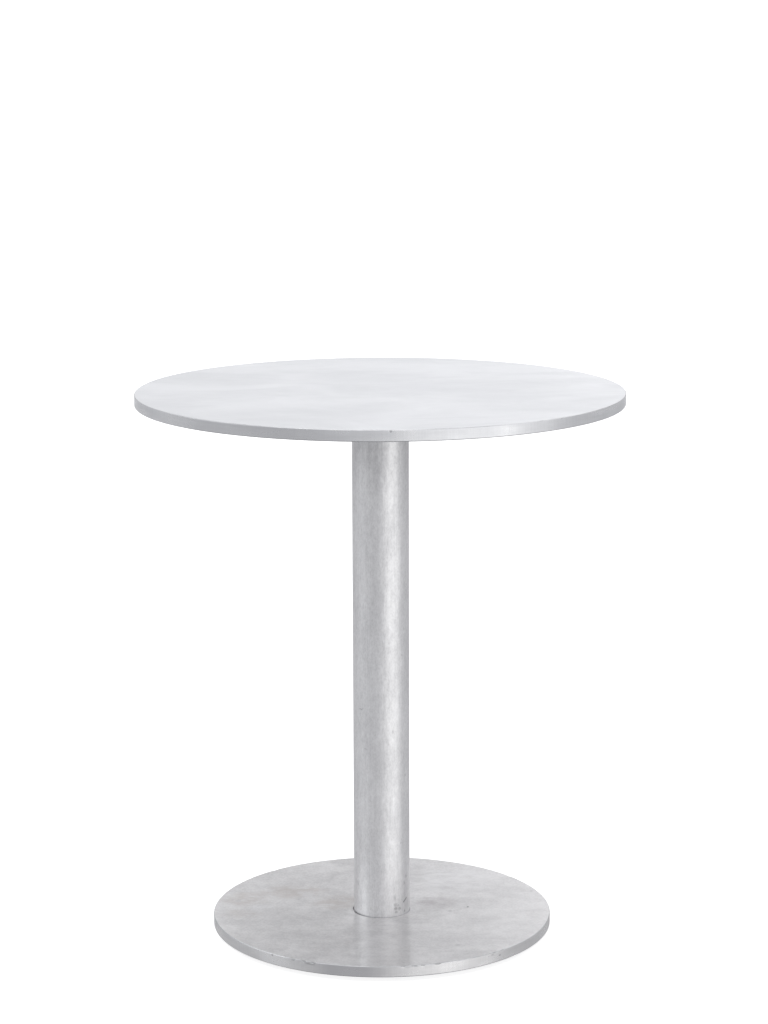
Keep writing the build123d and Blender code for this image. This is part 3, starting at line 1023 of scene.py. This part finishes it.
def base_outline():
    """The base's half outline, with the tube's groove in its upper face and the nut's recess below."""
    above = rounded(
        [
            (ROD_HOLE_RADIUS, RECESS_FLOOR),
            (ROD_HOLE_RADIUS, BASE_HIGH),
            (SPIGOT_RADIUS, BASE_HIGH),
            (SPIGOT_RADIUS, TUBE_LOW),
            (GROOVE_WALL, TUBE_LOW),
            (GROOVE_WALL, BASE_HIGH),
            (GROOVE_WALL + HELD_FLAT, BASE_HIGH),
        ],
        GROOVE_ROUNDING,
    )
    below = rounded(
        [
            (NUT_RECESS_RADIUS + HELD_FLAT, BASE_LOW),
            (NUT_RECESS_RADIUS, BASE_LOW),
            (NUT_RECESS_RADIUS, RECESS_FLOOR),
            (ROD_HOLE_RADIUS, RECESS_FLOOR),
        ],
        EDGE_ROUNDING,
    )
    return [*above, *plate_rim(BASE_RADIUS, BASE_LOW, BASE_HIGH), *below[:-1]]


def make_base_plate(face, rim, bevel):
    worn = worn_plate(BASE_RADIUS, BASE_HIGH, BASE_NICKS, BASE_WAVE_SEED)
    groove_edge = (GROOVE_WALL - EDGE_ROUNDING, GROOVE_WALL + 2 * MM)

    def wear(point):
        """The groove's outer wall is cut a little off the column's axis."""
        reach = math.hypot(point.x, point.y)
        if point.z > RECESS_FLOOR and groove_edge[0] < reach < groove_edge[1]:
            return point + Vector(GROOVE_SHIFT)
        return worn(point)

    mesh = bmesh.new()
    add_lathe(mesh, base_outline(), BASE_STEPS, wear=wear, closed=True)
    data = finished_mesh("base_disc", mesh)
    piece = place_piece("base_disc", data, "table", ["base_plate"], [face, rim, bevel])
    holes = []
    for number in FEET:
        x, y = middle_of(f"foot_stud_{number}")
        holes.append((x, y, TAPPED_BASE_RADIUS, BASE_LOW - PAST, BASE_LOW + TAPPED_BASE_DEPTH))
    cut_holes(piece, holes)
    plate_finishes(piece.data)


# ---------------------------------------------------------------- column, flange, rod and cover


def make_column(skin):
    outer, inner = TUBE_RADIUS, TUBE_RADIUS - TUBE_WALL
    halfway = (TUBE_LOW + TUBE_HIGH) / 2
    corners = [
        (inner, halfway),
        (inner, TUBE_LOW),
        (outer - EDGE_CHAMFER, TUBE_LOW),
        (outer, TUBE_LOW + EDGE_CHAMFER),
        (outer, TUBE_HIGH - EDGE_CHAMFER),
        (outer - EDGE_CHAMFER, TUBE_HIGH),
        (inner, TUBE_HIGH),
        (inner, halfway + SEAM),
    ]
    outline = rounded(corners, EDGE_ROUNDING)
    turned_piece("column", outline, "table", "column_tube", skin, TUBE_STEPS, closed=True)


def make_flange(metal):
    flange_low = SPIGOT_LOW + SPIGOT_HEIGHT
    seat = FLANGE_HIGH - NUT_RECESS_DEPTH
    corners = [
        (ROD_HOLE_RADIUS, seat - SEAM),
        (ROD_HOLE_RADIUS, SPIGOT_LOW),
        (SPIGOT_RADIUS - EDGE_CHAMFER, SPIGOT_LOW),
        (SPIGOT_RADIUS, SPIGOT_LOW + EDGE_CHAMFER),
        (SPIGOT_RADIUS, flange_low),
        (FLANGE_RADIUS - EDGE_CHAMFER, flange_low),
        (FLANGE_RADIUS, flange_low + EDGE_CHAMFER),
        (FLANGE_RADIUS, FLANGE_HIGH),
        (NUT_RECESS_RADIUS, FLANGE_HIGH),
        (NUT_RECESS_RADIUS, seat),
        (ROD_HOLE_RADIUS, seat),
    ]
    outline = rounded(corners, EDGE_ROUNDING)
    piece = turned_piece("flange", outline, "table", "top_flange", metal, FLANGE_STEPS, closed=True)
    low, high = flange_low - PAST, FLANGE_HIGH + PAST
    places = ring_places(SCREW_CIRCLE_RADIUS, SCREW_COUNT)
    cut_holes(piece, [(x, y, SCREW_HOLE_RADIUS, low, high) for x, y in places])


def make_tie_rod(steel):
    """A rod threaded at both ends, with a plain shank between them."""
    mesh = bmesh.new()
    lower = ROD_LOW + ROD_THREAD_LENGTH
    upper = ROD_HIGH - ROD_THREAD_LENGTH
    add_thread(mesh, ROD_RADIUS, ROD_PITCH, ROD_LOW, lower, AXIS, EDGE_CHAMFER)
    add_thread(mesh, ROD_RADIUS, ROD_PITCH, upper, ROD_HIGH, AXIS, EDGE_CHAMFER)
    low, high = lower - ROD_OVERLAP, upper + ROD_OVERLAP
    shank = [(0.0, low), (ROD_RADIUS, low), (ROD_RADIUS, high), (0.0, high)]
    add_lathe(mesh, rounded(shank, EDGE_CHAMFER), THREAD_STEPS)
    place_piece("rod", finished_mesh("rod", mesh), "table", ["tie_rod"], [steel])


def make_cover(plastic):
    inner = COVER_SKIRT_RADIUS - COVER_SKIRT_WALL
    corners = [
        (0.0, COVER_LOW),
        (COVER_RADIUS, COVER_LOW),
        (COVER_RADIUS, BASE_LOW),
        (COVER_SKIRT_RADIUS, BASE_LOW),
        (COVER_SKIRT_RADIUS, COVER_HIGH),
        (inner, COVER_HIGH),
        (inner, BASE_LOW),
        (0.0, BASE_LOW),
    ]
    turned_piece("cap", rounded(corners, COVER_ROUNDING), "table", "nut_cover", plastic)


# ---------------------------------------------------------------- levelling feet


def make_foot(number, steel, plastic, rubber):
    """One foot: a threaded stud with a hexagon collar and clip head, a pad, and a rubber sole."""
    stud, pad, sole = (f"foot_{part}_{number}" for part in ("stud", "pad", "sole"))
    centre = middle_of(stud)
    clip_low, tip = levels_of(stud)
    clip_high = clip_low + CLIP_THICKNESS
    collar_low = clip_high + NECK_LENGTH
    collar_high = collar_low + COLLAR_THICKNESS
    mesh = bmesh.new()
    clip = [
        (0.0, clip_low),
        (CLIP_RADIUS, clip_low),
        (CLIP_RADIUS, clip_high),
        (STUD_RADIUS, clip_high),
        (STUD_RADIUS, collar_low + STUD_OVERLAP),
        (0.0, collar_low + STUD_OVERLAP),
    ]
    add_lathe(mesh, rounded(clip, EDGE_ROUNDING), SMALL_STEPS, centre)
    add_hexagon(mesh, COLLAR_ACROSS_FLATS, collar_low, collar_high, centre, EDGE_ROUNDING)
    root = collar_high - STUD_OVERLAP
    add_thread(mesh, STUD_RADIUS, STUD_PITCH, root, tip, centre, EDGE_CHAMFER)
    name = f"levelling_stud_{number}"
    place_piece(name, finished_mesh(name, mesh), f"stud_{number}", [stud], [steel])

    pad_low, pad_high = levels_of(pad)
    sole_low, sole_high = levels_of(sole)
    sole_radius = radius_of(sole)
    pad_radius = radius_of(pad)
    pocket = CLIP_RADIUS + CLIP_GAP
    bore = STUD_RADIUS + STUD_GAP
    corners = [
        (0.0, clip_low - CLIP_GAP),
        (pocket, clip_low - CLIP_GAP),
        (pocket, clip_high + CLIP_GAP),
        (bore, clip_high + CLIP_GAP),
        (bore, pad_high),
        (PAD_SHOULDER_RADIUS, pad_high),
        (pad_radius, PAD_SIDE_TOP),
        (pad_radius, pad_low),
        (sole_radius + SOLE_GAP, pad_low),
        (sole_radius + SOLE_GAP, sole_high),
        (0.0, sole_high),
    ]
    outline = rounded(corners, PAD_ROUNDING)
    body = f"pad_{number}"
    turned_piece(f"levelling_pad_{number}", outline, body, pad, plastic, centre=centre)
    corners = [(0.0, sole_low), (sole_radius, sole_low), (sole_radius, sole_high), (0.0, sole_high)]
    outline = rounded(corners, EDGE_ROUNDING)
    turned_piece(f"rubber_sole_{number}", outline, body, sole, rubber, centre=centre)


# ---------------------------------------------------------------- the whole table

bpy.context.scene.view_settings.view_transform = "Standard"

make_camera()
make_studio()
make_card()
make_floor()

# Rims and bevels: patches of painted highlight and painted shade, dark spots and darkened nicks
top_rim_shade_and_marks = rim_marks(TOP_RADIUS, TOP_HIGH, TOP_NICKS, TOP_RIM_SHADE_AND_SPOTS)
base_rim_light_and_marks = rim_marks(BASE_RADIUS, BASE_HIGH, BASE_NICKS, BASE_RIM_LIGHT_AND_SPOTS)
top_rim = cut_edge("top_rim", TOP_RIM_DULL, TOP_RIM_PALE, RIM_ROUGHNESS, top_rim_shade_and_marks)
base_rim = cut_edge("base_rim", BASE_RIM_DULL, BASE_RIM_PALE, RIM_ROUGHNESS, base_rim_light_and_marks)
top_bevel_highlight_and_nicks = rim_marks(TOP_RADIUS, TOP_HIGH, TOP_NICKS, TOP_BEVEL_HIGHLIGHTS)
base_bevel_highlight_and_nicks = rim_marks(BASE_RADIUS, BASE_HIGH, BASE_NICKS, BASE_BEVEL_HIGHLIGHTS)
top_bevel = cut_edge("top_bevel", BEVEL_DULL, BEVEL_PALE, BEVEL_ROUGHNESS, top_bevel_highlight_and_nicks)
base_bevel = cut_edge("base_bevel", BEVEL_DULL, BEVEL_PALE, BEVEL_ROUGHNESS, base_bevel_highlight_and_nicks)
zinc = plated_steel("zinc_plate")
plastic = moulded(
    "black_plastic", PLASTIC_DARK, PLASTIC_DUSTY, PLASTIC_ROUGHNESS, PLASTIC_GRAIN, PLASTIC_GRAIN_DEPTH
)
rubber = moulded("rubber", RUBBER_DARK, RUBBER_DUSTY, RUBBER_ROUGHNESS, RUBBER_GRAIN, RUBBER_GRAIN_DEPTH)

make_table_top(top_face(), top_rim, top_bevel)
make_base_plate(base_face(), base_rim, base_bevel)
make_column(tube_skin("tube_skin", tube_marks))
make_flange(turned_metal("turned_aluminium_painted_shade"))
make_tie_rod(zinc)
make_cover(plastic)
for number in FEET:
    make_foot(number, zinc, plastic, rubber)

# The flange's screws and washers and the rod's nuts and washers keep their CAD shapes
for node in ("flange_screws", "flange_washers", "upper_washer", "upper_nut", "lower_washer", "lower_nut"):
    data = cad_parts[node].data
    data.materials.clear()
    data.materials.append(zinc)
